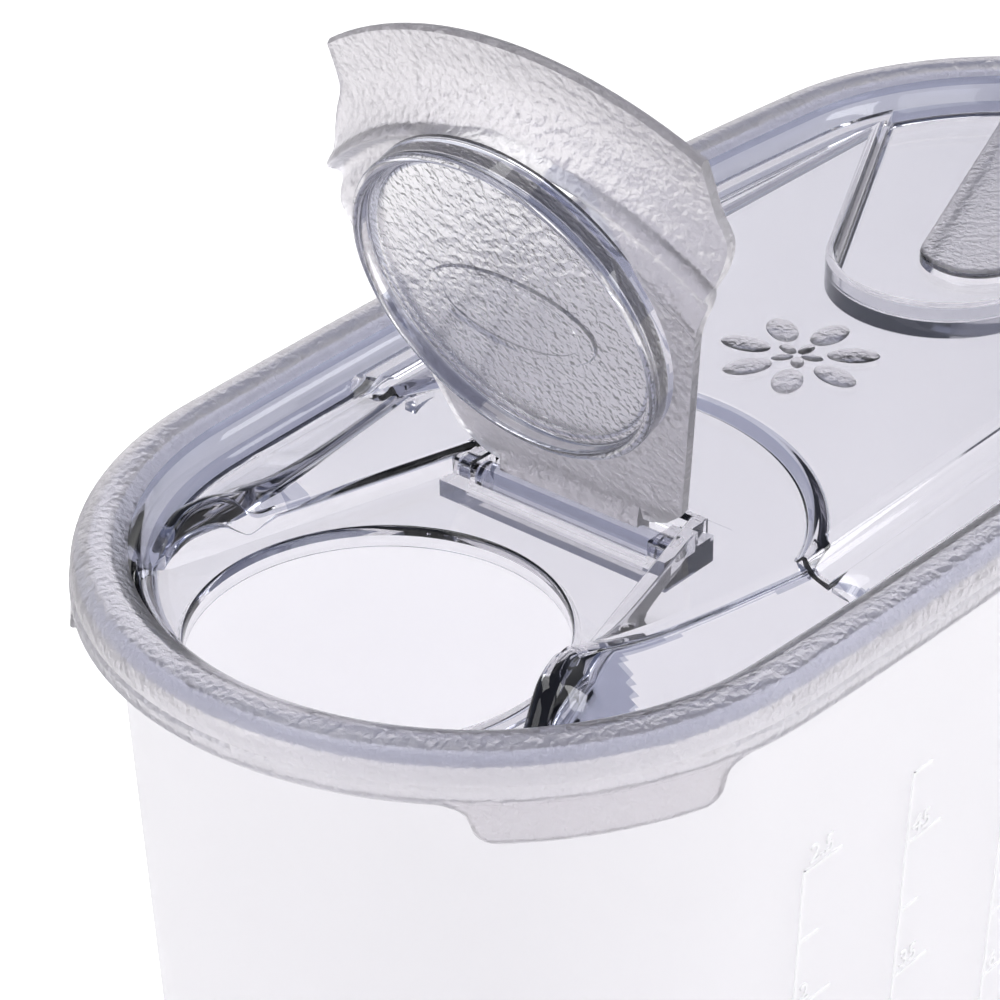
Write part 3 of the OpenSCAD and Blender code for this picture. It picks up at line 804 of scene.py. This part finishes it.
links.new(face_out.outputs[0], petals.inputs["Rotation"])
links.new(shape.outputs[0], petals.inputs["Scale"])
real = nodes.new("GeometryNodeRealizeInstances")
links.new(petals.outputs[0], real.inputs[0])
dress = nodes.new("GeometryNodeSetMaterial")
links.new(real.outputs[0], dress.inputs["Geometry"])
links.new(given.outputs["Plastic"], dress.inputs["Material"])
links.new(dress.outputs[0], result.inputs["Geometry"])
# Petals in each ring, and their distance, length, width and height
for count, far, long, wide, high in ((7, 8.2, 3.9, 2.3, 0.55), (5, 2.3, 1.7, 1.0, 0.5)):
    motif = bpy.data.objects.new("motif", bpy.data.meshes.new("motif"))
    bpy.context.scene.collection.objects.link(motif)
    grow = motif.modifiers.new("rosette", "NODES")
    grow.node_group = rosette
    for label, value in (("Petals", count), ("Reach", far), ("Length", long), ("Width", wide), ("Relief", high),
                         ("Plastic", smoke_plastic)):
        grow[rosette.interface.items_tree[label].identifier] = value
    motif = made(motif)
    motif.data.transform(Matrix.Translation((-3, -3, 1.46)))
    motif.data.materials.clear()
    for material in finishes:
        motif.data.materials.append(material)
    motif.data.polygons.foreach_set("material_index", [1] * len(motif.data.polygons))
    rim = carve(rim, "UNION", motif)

settle(rim, "lid_moulding", "lid", smoke_plastic)
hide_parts("lid")
rim.visible_shadow = False

# Flap
# The pouring flap is a separate moulding in the same smoke-clear plastic. It
# snaps into the lid by two pins and carries a ring that plugs the spout.
side = ([(-54, 13.6), (-55.2, bay_w(-54) - 2.6)] + smooth([(-58, bay_w(-58) - 0.6), (-80, bay_w(-80) - 0.6),
        (-97, bay_w(-97) - 0.6), (-99.2, bay_w(-99.2) - 0.55), (-101.5, 31.9), (-104, 32.3), (-106, 31.9),
        (-108.4, 30.9), (-112, 30.5), (-125, 30.2)], 4) + [(-140, 0)])


def flap_plan(grow):
    """Plan of the shut flap, from the hinge to the ends of the lip."""
    return side + [(x, -y) for x, y in side[-2::-1]]


lip = (smooth([(-13, -2), (-11.4, -1.8), (-10.3, -0.9), (-9.5, 0.1), (-8.7, 0.3), (-7.9, -0.2), (-7.3, -0.9),
               (-6.8, -1.0), (-6.3, -0.2), (-5.9, 1.1), (-4.4, 2.6), (-2.7, 3.9), (-1.2, 4.5), (1, 4.7), (5.4, 4.5)], 3)
       + smooth([(5.6, 4.7), (5.8, 5.25), (5.5, 5.9)], 3)
       + smooth([(5.0, 6.0), (0.8, 6.2), (-1.8, 5.9), (-3.8, 5.1), (-5.6, 4.0), (-6.7, 2.7), (-7.5, 1.9), (-8.3, 2.1),
                 (-9.2, 1.9), (-10.2, 1.3), (-11.2, 0.3), (-13, -0.5)], 3))
lip = block("lip", [[(-end_c + (end_r + o) * math.cos(a), (end_r + o) * math.sin(a), z) for o, z in lip]
                    for a in np.linspace(math.pi / 2, math.pi * 1.5, 97)], stuff=1)
lip = carve(lip, "INTERSECT", prism("plan", [(0, -10), (0, 20)], flap_plan, stuff=1))
leaf_end = carve(turned("leaf end", -end_c, 0, [(38.5, -10), (38.5, 10)]), "UNION",
                 slab("leaf end", -end_c, -8, 45, -10, 10))
leaf = carve(prism("leaf", [(0, -2), (0, -0.5)], flap_plan, stuff=1), "INTERSECT", leaf_end)
ring = turned("ring", spout_x, 0, [(24.0, -6.0), (24.45, -5.86), (24.66, -5.6), (24.7, -5.3), (24.7, -1.6)], n=160)
leaf = carve(leaf, "UNION", lip, ring)
dish = turned("dish", spout_x, 0, [(21.7, -2.3), (22.4, -2.1), (22.6, -1.7), (22.8, -0.5), (23.1, 4)], n=160)
for face in dish.data.polygons:
    if face.normal.z < -0.9:
        face.material_index = 1
cup = turned("cup", spout_x, 0, [(23.9, -7), (23.9, -6.0), (23.5, -5.9), (23.25, -5.6), (23.2, -5.2), (23.2, -4.5),
                               (23.0, -4.15), (22.5, -3.92), (21.9, -3.9)], n=160)
leaf = carve(leaf, "DIFFERENCE", dish, cup)


def plaque(name, grow, low, high):
    """An oval across the dish."""
    return prism(name, [(0, low), (0, high)] if grow < 0 else [(-0.25, low), (0, low + 0.2), (0, high)], lambda g: [
        (-88 + (6.8 + grow + g) * math.cos(a), (14.1 + grow * 1.9 + g) * math.sin(a))
        for a in np.linspace(0, 2 * math.pi, 97)[:-1]])


badge = carve(plaque("badge", 0, -4.3, -3.5), "DIFFERENCE", plaque("field", -1.4, -5, -4.12))
web = [(-0.4, -1.6), (-2.2, 0.4), (-3.4, 0.7), (-5.2, 1.8), (-4.4, 3.2), (-2.5, 3.2), (1, 2), (1.6, 0)]
web = block("web", [[(pin_x + x, y, pin_z + z) for x, z in web] for y in (-12.2, 12.2)], stuff=1)
leaf = carve(leaf, "UNION", badge, rod("knuckles", 2.1, 15.35), rod("pins", 1.3, 18.4), web)
# The flap is built shut and stands open in the scene
open_a = 71.9
hinge_at = Vector((pin_x, 0, pin_z))
leaf.data.transform(Matrix.Translation(hinge_at) @ Matrix.Rotation(math.radians(open_a), 4, "Y")
                    @ Matrix.Translation(-hinge_at))

settle(leaf, "flap_moulding", "flap", smoke_plastic)
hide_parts("pour_flap")
leaf.visible_shadow = False
